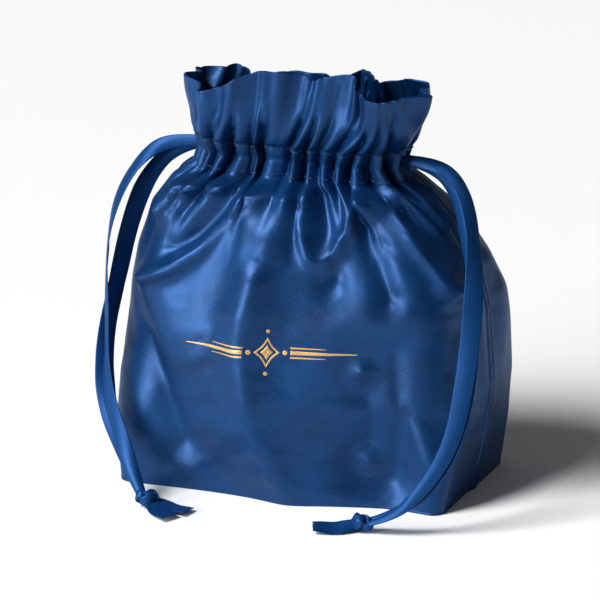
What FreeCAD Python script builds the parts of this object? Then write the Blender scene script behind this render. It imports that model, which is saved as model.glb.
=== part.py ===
import FreeCAD, Part
import math
import os

# Drawstring gift pouch of lined satin, standing half drawn shut. Millimetres.
# Origin: middle of the flat base, +Z up, the front faces -Y.

# Body
base_width = 195.0
base_depth = 110.0
body_height = 180.0
wall = 1.2              # satin and its lining
side_seam_width = 1.2
side_seam_proud = 0.8
side_seam_inside = 2.4
hem_allowance_height = 4.0
hem_allowance_thickness = 1.0
hem_allowance_gap = 0.4

# Neck: the gathered channel and the frill above it
neck_width = 126.0
neck_depth = 54.0
neck_corner = 14.0
neck_lean = -5.0        # the neck sits this far off the middle of the base
channel_gap = 3.2       # room between casing and facing for the ribbons
layer = 1.0             # one layer of satin in the channel
frill_height = 42.0
frill_end_height = 38.0
frill_side_flare = 3.0  # how far the frill opens out at each side, and at the front and back
frill_front_flare = 11.0
frill_corner_growth = 4.0
panel_side_gap = 3.0    # neck halves stop this far inside the neck's side walls
facing_side_gap = 7.0
slide_gap = 0.3

# Ribbon exits
exit_width = 13.0
exit_height = 12.0
bar_tack_length = 9.0
bar_tack_height = 1.0
thread_proud = 0.25

# Stitch rows
stitch_length = 3.0
stitch_pitch = 5.0
stitch_height = 0.6
stitch_inset = 1.5      # from the channel's edge to the middle of the row

# Ribbons: 12 mm satin, as a round cord of the same section where they hang free
ribbon_width = 12.0
ribbon_thickness = 0.5
tail_diameter = 2.8
ribbon_gap = 0.5
ribbon_clearance = 1.5  # from the ribbon's edge to the middle of the stitch row beside it
knot_length = 15.0
knot_width = 12.0
knot_height = 9.0
ribbon_end_length = 24.0
floor_gap = 0.1

# Print
print_width = 104.0
print_height = 88.0     # of its middle above the base
print_offset = -8.0
lozenge_width = 15.0
lozenge_height = 19.0
rule_height = 2.4
dot_diameter = 3.0
film = 0.2
film_gap = 0.1

# How far each level has drawn in from the base outline to the neck outline:
# share of the height, share in width, share in depth, corner radius, share of the lean
body_levels = (
    (0.00, 0.00, 0.00, 10.0, 0.0),
    (0.17, -0.13, -0.18, 15.0, 0.0),
    (0.42, -0.04, 0.00, 22.0, 0.0),
    (0.61, 0.04, 0.07, 22.0, 0.0),
    (0.72, 0.16, 0.21, 25.0, 0.2),
    (0.87, 0.36, 0.57, 25.0, 0.6),
    (1.00, 1.00, 1.00, neck_corner, 1.0),
)

# Middle line of each hanging strand, from inside its exit to its knot
left_front_route = (
    (-60, -2.6, 189), (-84, -3, 190), (-101, -13, 177), (-111, -25, 152), (-112, -32, 120),
    (-107, -45, 86), (-102, -62, 54), (-87, -80, 27), (-66, -94, 7),
)
left_back_route = (
    (-60, 2.6, 189), (-81, 2, 185), (-96, -7, 168), (-103, -17, 142), (-107, -26, 110),
    (-110, -40, 78), (-105, -60, 48), (-91, -75, 24), (-69, -90, 6),
)
right_front_route = (
    (50, -2.6, 189), (74, -3, 191), (94, -12, 182), (107, -29, 160), (113, -46, 128),
    (115, -65, 90), (113, -81, 55), (101, -91, 30), (83, -95, 12), (67, -94, 6),
)
right_back_route = (
    (50, 2.6, 189), (73, 2, 187), (89, -6, 173), (101, -24, 149), (111, -42, 116),
    (117, -58, 88), (115, -75, 56), (105, -86, 31), (88, -90, 15), (67, -90, 7),
)
left_knot_place = (-64.0, -93.0)
right_knot_place = (63.0, -92.0)
# Directions of each ribbon's two cut ends, in degrees from +X
left_end_headings = (-50.0, -3.0)
right_end_headings = (186.0, 208.0)

MIRROR_FRONT_TO_BACK = FreeCAD.Vector(0, 1, 0)
channel_height = ribbon_width + 2 * (ribbon_clearance + stitch_inset)
channel_bottom = body_height + slide_gap
channel_top = body_height + channel_height
frill_bottom = channel_top + slide_gap
neck_outline = (neck_width, neck_depth, neck_corner)
frill_outline = (
    neck_width + 2 * frill_side_flare,
    neck_depth + 2 * frill_front_flare,
    neck_corner + frill_corner_growth,
)


def vector(x, y, z=0.0):
    return FreeCAD.Vector(x, y, z)


def line(start, end):
    return Part.LineSegment(start, end).toShape()


def arc(centre, radius, start_deg, end_deg):
    """Edge of a level arc between two directions from its centre."""
    angles = (start_deg, (start_deg + end_deg) / 2, end_deg)
    ends = [
        centre + vector(radius * math.cos(math.radians(a)), radius * math.sin(math.radians(a)))
        for a in angles
    ]
    return Part.Arc(*ends).toShape()


def closed_strip(outer, inner):
    """Closed wire of a wall's level section, from its outer and its inner run of edges."""
    first = line(outer[-1].lastVertex().Point, inner[-1].lastVertex().Point)
    second = line(inner[0].firstVertex().Point, outer[0].firstVertex().Point)
    return Part.Wire(Part.__sortEdges__(outer + [first] + inner + [second]))


def front_run(width, depth, corner, lean, z, cut_angle, end_y=None):
    """Edges round the front of a rounded rectangle, from its right side to its left side."""
    x = width / 2 - corner
    y = depth / 2 - corner
    right = vector(lean + x, -y, z)
    left = vector(lean - x, -y, z)
    edges = [
        arc(right, corner, -cut_angle, -90),
        line(right + vector(0, -corner), left + vector(0, -corner)),
        arc(left, corner, -90, -180 + cut_angle),
    ]
    if end_y is not None:
        start = line(vector(lean + width / 2, end_y, z), right + vector(corner, 0))
        finish = line(left + vector(-corner, 0), vector(lean - width / 2, end_y, z))
        edges = [start] + edges + [finish]
    return edges


def body_level(level):
    """Width, depth, corner radius, lean and height of the body at one of its levels."""
    height_share, width_share, depth_share, corner, lean_share = level
    width = base_width + (neck_width - base_width) * width_share
    depth = base_depth + (neck_depth - base_depth) * depth_share
    z = wall + (body_height - wall) * height_share
    return width, depth, corner, neck_lean * lean_share, z


def front_panel():
    """Front half of the body's wall, from one side seam to the other."""
    sections = []
    for level in body_levels:
        width, depth, corner, lean, z = body_level(level)
        end_y = -side_seam_width / 2
        outer = front_run(width, depth, corner, lean, z, 0, end_y)
        inner = front_run(width - 2 * wall, depth - 2 * wall, corner - wall, lean, z, 0, end_y)
        sections.append(closed_strip(outer, inner))
    return Part.makeLoft(sections, True, False)


def base_panel():
    """Flat base, cut to the body's outline."""
    plate = Part.makeBox(base_width, base_depth, wall, vector(-base_width / 2, -base_depth / 2))
    upright = [e for e in plate.Edges if abs(e.BoundBox.ZLength - wall) < 1e-6]
    return plate.makeFillet(body_levels[0][3], upright)


def side_seam(side):
    """Folded seam allowance between the two panels, up one side of the body."""
    sections = []
    for level in body_levels:
        width, _, _, lean, z = body_level(level)
        outside = lean + side * (width / 2 + side_seam_proud)
        inside = lean + side * (width / 2 - side_seam_inside)
        half = side_seam_width / 2
        corners = [
            vector(outside, -half, z), vector(outside, half, z),
            vector(inside, half, z), vector(inside, -half, z), vector(outside, -half, z),
        ]
        sections.append(Part.makePolygon(corners))
    return Part.makeLoft(sections, True, False)


def front_base_seam():
    """Allowance of the front bottom seam, standing on the base inside the front panel."""
    length = base_width - 2 * body_levels[0][3]
    y = -(base_depth / 2 - wall - hem_allowance_gap)
    corner = vector(-length / 2, y, wall)
    return Part.makeBox(length, hem_allowance_thickness, hem_allowance_height, corner)


def right_corner_seam():
    """Allowance of the seam across the boxed corner, inside the right end of the base."""
    length = base_depth - 2 * body_levels[0][3]
    x = base_width / 2 - side_seam_inside - hem_allowance_gap - hem_allowance_thickness
    corner = vector(x, -length / 2, wall)
    return Part.makeBox(hem_allowance_thickness, length, hem_allowance_height, corner)


def cut_angle(width, corner, half_reach):
    """Direction, from the corner's centre, in which the corner arc is half_reach off the middle."""
    return math.degrees(math.acos((half_reach - (width / 2 - corner)) / corner))


def neck_half_section(width, depth, corner, z, thickness, side_gap):
    """Level section of a front wall that stops side_gap short of the neck's side."""
    half_reach = neck_width / 2 - side_gap
    outer = front_run(width, depth, corner, neck_lean, z, cut_angle(width, corner, half_reach))
    width, depth, corner = width - 2 * thickness, depth - 2 * thickness, corner - thickness
    inner = front_run(width, depth, corner, neck_lean, z, cut_angle(width, corner, half_reach))
    return closed_strip(outer, inner)


def neck_half(inset, thickness, side_gap, bottom, top):
    """Upright front wall in the channel, its outer face inset from the neck's outline."""
    size = (neck_width - 2 * inset, neck_depth - 2 * inset, neck_corner - inset)
    sections = [neck_half_section(*size, z, thickness, side_gap) for z in (bottom, top)]
    return Part.makeLoft(sections, True, True)


def front_frill():
    """Front half of the frill, which opens out above the channel."""
    top = frill_bottom + frill_height
    start = neck_half_section(*neck_outline, frill_bottom, layer, panel_side_gap)
    end = neck_half_section(*frill_outline, top, layer, panel_side_gap)
    return Part.makeLoft([start, end], True, True)


def end_section(width, depth, corner, z):
    """Level section of the neck's right side wall, which the sliding halves pass inside of."""
    clear = neck_width / 2 - panel_side_gap + slide_gap
    inner_corner = corner - wall
    reach = math.sqrt(inner_corner**2 - (clear - (width / 2 - corner)) ** 2)
    outer_turn = math.degrees(math.asin(reach / corner))
    inner_turn = math.degrees(math.asin(reach / inner_corner))
    x = neck_lean + width / 2 - corner
    y = depth / 2 - corner
    outer, inner = [
        [
            arc(vector(x, -y, z), radius, -turn, 0),
            line(vector(x + radius, -y, z), vector(x + radius, y, z)),
            arc(vector(x, y, z), radius, 0, turn),
        ]
        for radius, turn in ((corner, outer_turn), (inner_corner, inner_turn))
    ]
    return closed_strip(outer, inner)


def right_channel_end():
    """Side wall of the channel, with the opening that both strands of the ribbon leave by."""
    sections = [end_section(*neck_outline, z) for z in (body_height, channel_top)]
    shell = Part.makeLoft(sections, True, True)
    middle = (body_height + channel_top) / 2
    corner = vector(neck_lean + neck_width / 4, -exit_width / 2, middle - exit_height / 2)
    return shell.cut(Part.makeBox(neck_width / 2, exit_width, exit_height, corner))


def right_frill_end():
    """Side of the frill, standing on the channel's side wall."""
    top = channel_top + frill_end_height
    start = end_section(*neck_outline, channel_top)
    end = end_section(*frill_outline, top)
    return Part.makeLoft([start, end], True, True)


def right_bar_tacks():
    """Two bars of thread that close the channel above and below the ribbon exit."""
    tacks = []
    depth = wall + 2 * thread_proud
    for edge, place in ((body_height, 0.5), (channel_top, -0.5)):
        margin = (channel_height - exit_height) / 2
        z = edge + place * margin - bar_tack_height / 2
        x = neck_lean + neck_width / 2 - wall - thread_proud
        corner = vector(x, -bar_tack_length / 2, z)
        tacks.append(Part.makeBox(depth, bar_tack_length, bar_tack_height, corner))
    return Part.makeCompound(tacks)


def front_stitching(z):
    """Row of stitches through the casing and the facing."""
    depth = layer + channel_gap + layer + 2 * thread_proud
    reach = neck_width / 2 - neck_corner
    count = int(2 * reach / stitch_pitch)
    stitches = []
    for number in range(count):
        x = neck_lean + (number - (count - 1) / 2) * stitch_pitch - stitch_length / 2
        corner = vector(x, -neck_depth / 2 - thread_proud, z - stitch_height / 2)
        stitches.append(Part.makeBox(stitch_length, depth, stitch_height, corner))
    return Part.makeCompound(stitches)


def ribbon_run(order):
    """Ribbon lying in the front channel; order 0 lies against the casing, 1 inside it."""
    inset = layer + ribbon_gap + order * (ribbon_thickness + ribbon_gap)
    bottom = (body_height + channel_top - ribbon_width) / 2
    return neck_half(inset, ribbon_thickness, facing_side_gap, bottom, bottom + ribbon_width)


def tail_path(points):
    """Straight runs joined by tangent arcs; prints and returns the arcs' radii too."""
    points = [vector(*p) for p in points]
    edges = []
    radii = []
    start = points[0]
    for before, corner, after in zip(points, points[1:], points[2:]):
        back = before - corner
        ahead = after - corner
        turn = math.pi - back.getAngle(ahead)
        tangent = 0.45 * min(back.Length, ahead.Length)
        radii.append(tangent / math.tan(turn / 2))
        back.normalize()
        ahead.normalize()
        arc_start = corner + back * tangent
        arc_end = corner + ahead * tangent
        inward = (back + ahead).normalize()
        centre = corner + inward * math.hypot(tangent, radii[-1])
        edges.append(line(start, arc_start))
        edges.append(Part.Arc(arc_start, centre - inward * radii[-1], arc_end).toShape())
        start = arc_end
    edges.append(line(start, points[-1]))
    return Part.Wire(edges), radii


def tail(name, points):
    """Hanging strand as a tube, with its length and bends printed."""
    path, radii = tail_path(points)
    first = (path.Edges[0].lastVertex().Point - path.Edges[0].firstVertex().Point).normalize()
    circle = Part.Circle(path.Edges[0].firstVertex().Point, first, tail_diameter / 2)
    tube = path.makePipeShell([Part.Wire(circle.toShape())], True, False)
    expected = math.pi * tail_diameter**2 / 4 * path.Length
    print(name, "length", round(path.Length, 1), "volume ratio", round(tube.Volume / expected, 4))
    print("  bend radii", [round(r, 1) for r in radii], "lowest", round(tube.BoundBox.ZMin, 2))
    return tube


def knot(place):
    """Overhand knot that ties a ribbon's two strands, lying on the floor."""
    half = knot_length / 2
    upper = Part.Arc(vector(half, 0), vector(0, half * knot_width / knot_length), vector(-half, 0))
    face = Part.Face(Part.Wire([upper.toShape(), line(vector(-half, 0), vector(half, 0))]))
    ball = face.revolve(vector(0, 0), vector(1, 0), 360)
    flatten = FreeCAD.Matrix()
    flatten.scale(1, 1, knot_height / knot_width)
    ball = ball.transformGeometry(flatten)
    ball.translate(vector(*place, knot_height / 2 + floor_gap))
    return ball


def ribbon_ends(place, headings):
    """The two cut ends past a knot, lying flat with angled cuts."""
    ends = []
    for number, heading in enumerate(headings):
        z = floor_gap + number * (ribbon_thickness + floor_gap)
        half = ribbon_width / 2
        tip = ribbon_end_length
        outline = [
            vector(0, -half, z), vector(tip, -half, z), vector(tip - half, half, z),
            vector(0, half, z), vector(0, -half, z),
        ]
        strip = Part.Face(Part.makePolygon(outline)).extrude(vector(0, 0, ribbon_thickness))
        strip.rotate(vector(0, 0), vector(0, 0, 1), heading)
        strip.translate(vector(*place))
        ends.append(strip)
    return Part.makeCompound(ends)


def print_film():
    """Skin just proud of the front panel's flat middle, that the print is cut from."""
    sections = []
    for level in body_levels:
        _, depth, _, _, z = body_level(level)
        near = -depth / 2 - film_gap
        far = near - film
        half = print_width / 2
        corners = [
            vector(print_offset - half, near, z), vector(print_offset + half, near, z),
            vector(print_offset + half, far, z), vector(print_offset - half, far, z),
            vector(print_offset - half, near, z),
        ]
        sections.append(Part.makePolygon(corners))
    return Part.makeLoft(sections, True, False)


def upright_prism(corners):
    """Prism along Y through the front of the pouch, from an outline in X and Z."""
    points = [vector(print_offset + x, -base_depth, print_height + z) for x, z in corners]
    outline = Part.makePolygon(points + points[:1])
    return Part.Face(outline).extrude(vector(0, base_depth, 0))


def printed_ornament():
    """Plain divider: a lozenge between two tapering rules, with dots along them."""
    half = lozenge_height / 2
    inner = lozenge_width / 2 + dot_diameter
    shapes = [upright_prism([(-lozenge_width / 2, 0), (0, half), (lozenge_width / 2, 0), (0, -half)])]
    for side in (-1, 1):
        start = side * inner
        end = side * (print_width / 2 - 1)
        swell = side * (inner + (print_width / 2 - inner) / 3)
        top = rule_height / 2
        shapes.append(upright_prism([(start, 0), (swell, top), (end, 0), (swell, -top)]))
        for place in (1, 2):
            x = swell + side * place * dot_diameter * 2
            z = top + dot_diameter * 0.8
            radius = dot_diameter / 2
            dot = [
                (x + radius * math.cos(math.radians(a)), z + radius * math.sin(math.radians(a)))
                for a in range(0, 360, 45)
            ]
            shapes.append(upright_prism(dot))
    film_skin = print_film()
    return Part.makeCompound([film_skin.common(shape) for shape in shapes])


def to_back(shape):
    return shape.mirror(vector(0, 0), MIRROR_FRONT_TO_BACK)


def to_left_of_neck(shape):
    return shape.mirror(vector(neck_lean, 0), vector(1, 0))


def root_parts():
    panel = front_panel()
    base_seam = front_base_seam()
    corner_seam = right_corner_seam()
    return {
        "front_panel": panel,
        "back_panel": to_back(panel),
        "base_panel": base_panel(),
        "left_side_seam": side_seam(-1),
        "right_side_seam": side_seam(1),
        "front_base_seam": base_seam,
        "back_base_seam": to_back(base_seam),
        "left_corner_seam": corner_seam.mirror(vector(0, 0), vector(1, 0)),
        "right_corner_seam": corner_seam,
        "left_channel_end": to_left_of_neck(right_channel_end()),
        "right_channel_end": right_channel_end(),
        "left_frill_end": to_left_of_neck(right_frill_end()),
        "right_frill_end": right_frill_end(),
        "left_bar_tacks": to_left_of_neck(right_bar_tacks()),
        "right_bar_tacks": right_bar_tacks(),
        "printed_ornament": printed_ornament(),
    }


def neck_parts():
    facing_inset = layer + channel_gap
    front = {
        "casing": neck_half(0.0, layer, panel_side_gap, channel_bottom, channel_top),
        "facing": neck_half(facing_inset, layer, facing_side_gap, channel_bottom, channel_top),
        "frill": front_frill(),
        "lower_stitching": front_stitching(channel_bottom + stitch_inset),
        "upper_stitching": front_stitching(channel_top - stitch_inset),
        "left_ribbon_run": ribbon_run(0),
        "right_ribbon_run": ribbon_run(1),
    }
    nodes = {}
    for name, shape in front.items():
        nodes["front_" + name] = shape
        nodes["back_" + name] = to_back(shape)
    return nodes


def ribbon_parts():
    return {
        "left_ribbon_front_tail": tail("left front tail", left_front_route),
        "left_ribbon_back_tail": tail("left back tail", left_back_route),
        "left_knot": knot(left_knot_place),
        "left_ribbon_ends": ribbon_ends(left_knot_place, left_end_headings),
        "right_ribbon_front_tail": tail("right front tail", right_front_route),
        "right_ribbon_back_tail": tail("right back tail", right_back_route),
        "right_knot": knot(right_knot_place),
        "right_ribbon_ends": ribbon_ends(right_knot_place, right_end_headings),
    }


os.makedirs("parts", exist_ok=True)
for node, shape in {**root_parts(), **neck_parts(), **ribbon_parts()}.items():
    shape.exportStep("parts/" + node + ".step")
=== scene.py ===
# Drawstring gift pouch of lined navy satin, standing on a table half drawn shut.
# The origin is the middle of the flat base, +Z is up and the front faces -Y.
# Lengths are written in millimetres and become metres where a mesh is made.

import math

import bpy
import numpy as np
from mathutils import Matrix, Vector


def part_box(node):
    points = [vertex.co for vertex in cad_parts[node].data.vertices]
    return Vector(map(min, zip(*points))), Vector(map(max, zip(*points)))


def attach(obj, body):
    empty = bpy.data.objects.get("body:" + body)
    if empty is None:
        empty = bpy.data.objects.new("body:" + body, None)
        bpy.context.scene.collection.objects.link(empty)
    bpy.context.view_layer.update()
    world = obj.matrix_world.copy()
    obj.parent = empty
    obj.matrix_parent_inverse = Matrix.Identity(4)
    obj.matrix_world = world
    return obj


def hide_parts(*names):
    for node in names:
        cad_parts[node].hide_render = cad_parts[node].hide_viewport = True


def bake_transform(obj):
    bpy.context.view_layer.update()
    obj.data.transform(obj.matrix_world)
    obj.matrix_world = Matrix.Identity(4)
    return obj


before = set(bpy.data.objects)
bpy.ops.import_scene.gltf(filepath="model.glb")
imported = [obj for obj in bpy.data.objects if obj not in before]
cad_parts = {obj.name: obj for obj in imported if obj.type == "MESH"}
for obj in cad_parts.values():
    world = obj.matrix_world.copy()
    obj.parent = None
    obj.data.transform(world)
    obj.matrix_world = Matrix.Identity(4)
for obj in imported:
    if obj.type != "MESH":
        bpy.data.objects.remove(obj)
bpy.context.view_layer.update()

mm = 0.001


# ---------------------------------------------------------------------------
# Camera
# It stands to the right of the pouch's front and a little above it, with a
# long lens, so the sides stay nearly parallel.

view_turn = math.radians(20)
view_rise = math.radians(17)
view_distance = 4.0
view_width = 342 * mm       # seen at the pouch, from edge to edge
view_centre = (-15.6 * mm, 24.5 * mm, 92.7 * mm)

view_right = Vector((math.cos(view_turn), math.sin(view_turn), 0))
view_up = Vector((
    -math.sin(view_turn) * math.sin(view_rise),
    math.cos(view_turn) * math.sin(view_rise),
    math.cos(view_rise),
))
view_back = view_right.cross(view_up)

camera = bpy.data.objects.new("camera", bpy.data.cameras.new("camera"))
bpy.context.scene.collection.objects.link(camera)
bpy.context.scene.camera = camera
camera_axes = Matrix((view_right, view_up, view_back)).transposed().to_4x4()
camera_place = Vector(view_centre) + view_back * view_distance
camera.matrix_world = Matrix.Translation(camera_place) @ camera_axes
camera.data.sensor_width = 36
camera.data.lens = 36 * view_distance / view_width
camera.data.clip_end = 20


# ---------------------------------------------------------------------------
# Ribbons where they hang free
# Navy satin ribbon 12 mm wide, woven with a firm edge. Two strands come out
# of each side of the neck, hang down past the front corner and are knotted
# together on the table, with the two cut ends spread beyond the knot.

ribbon_width = 12.0
ribbon_thickness = 0.45
ribbon_cup = 0.4            # how far the ribbon's middle bows out

# The ribbon's section: places across it from edge to edge, and its half thickness at each, which
# swells at the woven edges
ribbon_across = np.array([-1, -0.94, -0.8, -0.5, 0, 0.5, 0.8, 0.94, 1])
ribbon_section = np.array([0.35, 0.6, 0.42, 0.4, 0.4, 0.4, 0.42, 0.6, 0.35]) * ribbon_thickness

# Each strand's route, from inside its exit to its knot
left_front_route = (
    (-60, -2.6, 189), (-84, -3, 190), (-101, -13, 177), (-111, -25, 152), (-112, -32, 120),
    (-107, -45, 86), (-101, -62, 54), (-82, -80, 27), (-66, -94, 7),
)
left_back_route = (
    (-60, 2.6, 189), (-81, 2, 185), (-96, -7, 168), (-103, -17, 142), (-107, -26, 110),
    (-110, -40, 78), (-102, -60, 48), (-86, -76, 24), (-69, -90, 6),
)
right_front_route = (
    (50, -2.6, 189), (74, -3, 191), (94, -12, 182), (107, -29, 160), (113, -46, 128),
    (115, -65, 90), (113, -81, 55), (101, -91, 30), (83, -95, 12), (67, -94, 6),
)
right_back_route = (
    (50, 2.6, 189), (73, 2, 187), (89, -6, 173), (101, -24, 149), (111, -42, 116),
    (117, -58, 88), (115, -75, 56), (105, -86, 31), (88, -90, 15), (67, -90, 7),
)

# Which way each strand's face looks, at shares of its length from the exit
left_front_faces = (
    (0.00, (0, -1, 0.05)), (0.08, (0, -1, 0.3)), (0.20, (-0.75, -0.75, 0.5)),
    (0.40, (-1, -0.35, 0.1)), (0.62, (-0.9, -0.5, 0.2)), (0.80, (-0.5, -0.75, 0.4)),
    (0.92, (0.3, -0.8, 0.5)), (1.00, (0.4, -0.5, 0.8)),
)
left_back_faces = (
    (0.00, (0, -1, -0.05)), (0.10, (0.1, -1, 0.2)), (0.25, (0.55, -0.85, 0.3)),
    (0.45, (0.85, -0.6, 0.1)), (0.65, (0.7, -0.7, 0.2)), (0.85, (-0.3, -0.8, 0.6)),
    (1.00, (-0.2, -0.5, 0.8)),
)
right_front_faces = (
    (0.00, (0, -1, 0.05)), (0.08, (0.2, -1, 0.5)), (0.18, (0.75, -0.6, 0.55)),
    (0.30, (0.9, -0.5, 0.2)), (0.48, (0.35, -0.9, 0.2)), (0.70, (0.2, -0.9, 0.35)),
    (0.88, (0.6, -0.4, 0.7)), (1.00, (0.2, -0.4, 0.9)),
)
right_back_faces = (
    (0.00, (0, -1, -0.05)), (0.12, (-0.1, -1, 0.1)), (0.26, (-0.6, -0.8, 0.2)),
    (0.45, (-0.85, -0.6, 0.1)), (0.70, (-0.7, -0.7, 0.35)), (0.88, (-0.1, -0.7, 0.7)),
    (1.00, (0.0, -0.4, 0.9)),
)


def linear(colour):
    """A colour as Blender's shaders take it, from its sRGB hex value."""
    parts = [int(colour[k:k + 2], 16) / 255 for k in (1, 3, 5)]
    return [p / 12.92 if p <= 0.04045 else ((p + 0.055) / 1.055) ** 2.4 for p in parts] + [1]


def add_node(tree, kind, inputs=None, **settings):
    """A node with its settings, and each input either set to a value or linked from a socket."""
    made = tree.nodes.new(kind)
    for name, value in settings.items():
        setattr(made, name, value)
    for name, value in (inputs or {}).items():
        if isinstance(value, bpy.types.NodeSocket):
            tree.links.new(value, made.inputs[name])
        else:
            made.inputs[name].default_value = value
    return made


def new_material(name):
    made = bpy.data.materials.new(name)
    made.use_nodes = True
    made.node_tree.nodes.clear()
    return made, made.node_tree


def finish_material(tree, shader):
    add_node(tree, "ShaderNodeOutputMaterial", {"Surface": shader.outputs[0]})


def satin_ribbon():
    """Single-faced polyester satin ribbon, woven with long lengthwise floats: glossy along the
    threads, with a tight raised selvage at each edge that catches a thin line of light."""
    made, tree = new_material("satin_ribbon")
    uv = add_node(tree, "ShaderNodeUVMap", uv_map="cut")
    # Real threads lie 0.08 mm apart: drawn 0.5 mm apart so that they show
    threads = add_node(tree, "ShaderNodeMapping", {"Vector": uv.outputs[0], "Scale": (2.0, 0.03, 1)})
    floats = add_node(tree, "ShaderNodeTexNoise", {
        "Vector": threads.outputs[0], "Scale": 1.0, "Detail": 3.0, "Roughness": 0.6,
    }, noise_dimensions="2D")
    tone = add_node(tree, "ShaderNodeValToRGB", {"Fac": floats.outputs["Fac"]})
    tone.color_ramp.elements[0].position = 0.3
    tone.color_ramp.elements[0].color = linear("#042e5c")
    tone.color_ramp.elements[1].position = 0.75
    tone.color_ramp.elements[1].color = linear("#0a4078")
    rough = add_node(tree, "ShaderNodeMapRange", {
        "Value": floats.outputs["Fac"], "To Min": 0.40, "To Max": 0.50,
    })
    bump = add_node(tree, "ShaderNodeBump", {
        "Height": floats.outputs["Fac"], "Strength": 0.35, "Distance": 0.1 * mm,
    })
    tangent = add_node(tree, "ShaderNodeTangent", direction_type="UV_MAP", uv_map="cut")
    shader = add_node(tree, "ShaderNodeBsdfPrincipled", {
        "Base Color": tone.outputs["Color"], "Roughness": rough.outputs["Result"],
        "Metallic": 0.4, "Specular IOR Level": 0.4, "Anisotropic": 0.4,
        "Specular Tint": linear("#b9cff0"), "Normal": bump.outputs[0],
        "Tangent": tangent.outputs[0], "Sheen Weight": 0.03, "Sheen Roughness": 0.4,
        "Sheen Tint": linear("#5f8fd6"),
    })
    finish_material(tree, shader)
    return made


def piece(name, points, faces, material, cut=None, looks=None):
    """A finished mesh from points in millimetres, with its cut coordinates as UVs. looks gives
    the way the cloth faces at each point, so that a seam between pieces doesn't show as an edge."""
    mesh = bpy.data.meshes.new(name)
    mesh.from_pydata((np.asarray(points) * mm).tolist(), [], np.asarray(faces).tolist())
    mesh.update()
    mesh.polygons.foreach_set("use_smooth", np.ones(len(mesh.polygons), bool))
    if cut is not None:
        corners = np.empty(len(mesh.loops), np.int32)
        mesh.loops.foreach_get("vertex_index", corners)
        layer = mesh.uv_layers.new(name="cut")
        layer.data.foreach_set("uv", np.asarray(cut, np.float32)[corners].ravel())
    if looks is not None:
        mesh.normals_split_custom_set_from_vertices(unit(np.asarray(looks)).tolist())
    mesh.materials.append(material)
    made = bpy.data.objects.new(name, mesh)
    bpy.context.scene.collection.objects.link(made)
    return made


def unit(vectors):
    return vectors / np.maximum(np.linalg.norm(vectors, axis=-1, keepdims=True), 1e-9)


def closed_layer(outer, inner, cut, hole=None, carry=None):
    """Points, faces and cut coordinates of a thin layer between two grids, closed at its edges,
    and the carried directions, turned round on the inner side."""
    rows, columns = outer.shape[:2]
    count = rows * columns
    number = np.arange(count).reshape(rows, columns)
    keep = np.ones((rows - 1, columns - 1), bool) if hole is None else ~hole
    corners = (number[:-1, :-1], number[:-1, 1:], number[1:, 1:], number[1:, :-1])
    top = np.stack([c[keep] for c in corners], 1)
    sides = np.concatenate([top[:, [k, (k + 1) % 4]] for k in range(4)])
    shared = np.isin(sides[:, 0] * count + sides[:, 1], sides[:, 1] * count + sides[:, 0])
    edge = sides[~shared]
    walls = np.stack([edge[:, 1], edge[:, 0], edge[:, 0] + count, edge[:, 1] + count], 1)
    faces = np.concatenate([top, top[:, ::-1] + count, walls])
    used, faces = np.unique(faces, return_inverse=True)
    points = np.concatenate([outer.reshape(-1, 3), inner.reshape(-1, 3)])[used]
    flat = np.concatenate([cut.reshape(-1, 2)] * 2)[used]
    if carry is None:
        return points, faces.reshape(-1, 4), flat
    carried = np.concatenate([carry.reshape(-1, 3), -carry.reshape(-1, 3)])[used]
    return points, faces.reshape(-1, 4), flat, carried


def route_line(name, route):
    """Points along the smooth line that a ribbon hangs in."""
    curve = bpy.data.curves.new(name, "CURVE")
    curve.dimensions = "3D"
    curve.resolution_u = 16
    spline = curve.splines.new("NURBS")
    spline.points.add(len(route) - 1)
    for point, place in zip(spline.points, route):
        point.co = (place[0] * mm, place[1] * mm, place[2] * mm, 1)
    spline.order_u = 3
    spline.use_endpoint_u = True
    holder = bpy.data.objects.new(name, curve)
    bpy.context.scene.collection.objects.link(holder)
    mesh = bpy.data.meshes.new_from_object(holder)
    line = np.array([v.co for v in mesh.vertices]) / mm
    bpy.data.objects.remove(holder)
    bpy.data.curves.remove(curve)
    bpy.data.meshes.remove(mesh)
    return line


def ribbon_band(line, faces, widths=((0, 1), (1, 1)), cup=ribbon_cup, slant=0.0):
    """A band of ribbon along a line, with its face turned as the (share, direction) list says.
    Where widths falls below 1 the ribbon is bowed across, so it is that much narrower. slant cuts
    its far end off at an angle."""
    steps = np.linalg.norm(np.diff(line, axis=0), axis=1)
    along = np.concatenate([[0], np.cumsum(steps)])
    shares = [f[0] for f in faces]
    looks = np.array([f[1] for f in faces], float)
    look = np.stack([np.interp(along / along[-1], shares, looks[:, k]) for k in range(3)], 1)
    heading = unit(np.gradient(line, axis=0))
    out = unit(look - heading * (look * heading).sum(1, keepdims=True))
    side = np.cross(heading, out)
    ripple = 0.25 * np.sin(along / 9.0)[:, None] * ribbon_across
    narrow = np.interp(along / along[-1], *zip(*widths))[:, None]
    spread = narrow * ribbon_across * (1 - 0.12 * (1 - narrow) * ribbon_across ** 2)
    deep = cup + ribbon_width * 0.1 * np.sqrt(1 - np.minimum(narrow, 1) ** 2)
    bow = deep * (0.4 - ribbon_across ** 2) + ripple
    middle = (
        line[:, None] + side[:, None] * (spread * ribbon_width / 2)[..., None]
        + out[:, None] * bow[..., None])
    ramp = np.clip(1 - (along[-1] - along) / 8, 0, 1)
    middle = middle + heading[:, None] * (ramp[:, None] * ribbon_across * slant)[..., None]
    outer = middle + out[:, None] * ribbon_section[:, None]
    inner = middle - out[:, None] * ribbon_section[:, None]
    cut = np.stack(np.meshgrid(ribbon_across * ribbon_width / 2, along), -1)
    return closed_layer(outer, inner, cut)


ribbon_material = satin_ribbon()


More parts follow.
